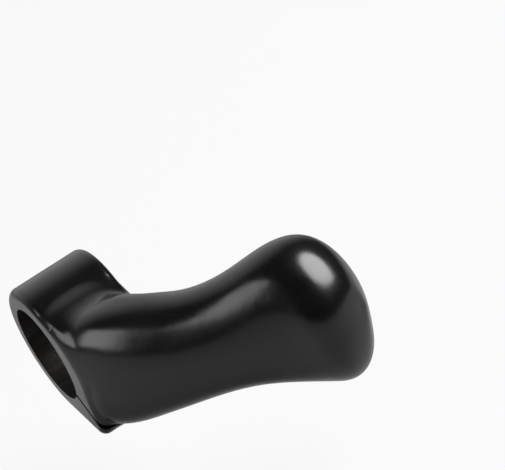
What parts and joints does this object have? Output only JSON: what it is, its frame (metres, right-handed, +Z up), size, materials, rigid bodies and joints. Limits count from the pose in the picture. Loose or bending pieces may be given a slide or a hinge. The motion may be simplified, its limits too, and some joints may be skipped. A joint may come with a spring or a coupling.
{
  "type": "bicycle bar end",
  "caption": "Stubby flared bicycle bar end: a split clamp ring running into a horn with a wide rounded head, closed by a clamp screw.",
  "frame": {"origin": "on the axis of the clamp's bore, at the middle of its width", "axes": "+Y along the handlebar, inboard; +X forward; +Z up, for the right-hand end of the bar"},
  "size_m": [0.0778, 0.0536, 0.0377],
  "materials": {
    "black_paint": "gloss black paint on cast aluminium",
    "screw_steel": "zinc plated"
  },
  "bodies": {
    "horn": {"horn_body": "black_paint"},
    "washer": {"bolt_washer": "screw_steel"},
    "screw": {"clamp_bolt": "screw_steel"}
  },
  "joints": [
    {"name": "screw_travel", "type": "slide", "parent": "horn", "child": "washer", "axis": [-0.7193, 0, -0.6947], "range_m": [0, 0.0024]},
    {"name": "screw_turn", "type": "hinge", "parent": "washer", "child": "screw", "pos_m": [0.01084, 0, -0.01122], "axis": [-0.7193, 0, -0.6947], "range_deg": [0, 1080]}
  ],
  "couplings": [
    {"joint": "screw_turn", "follows": "screw_travel", "rad_per_m": 7854}
  ]
}
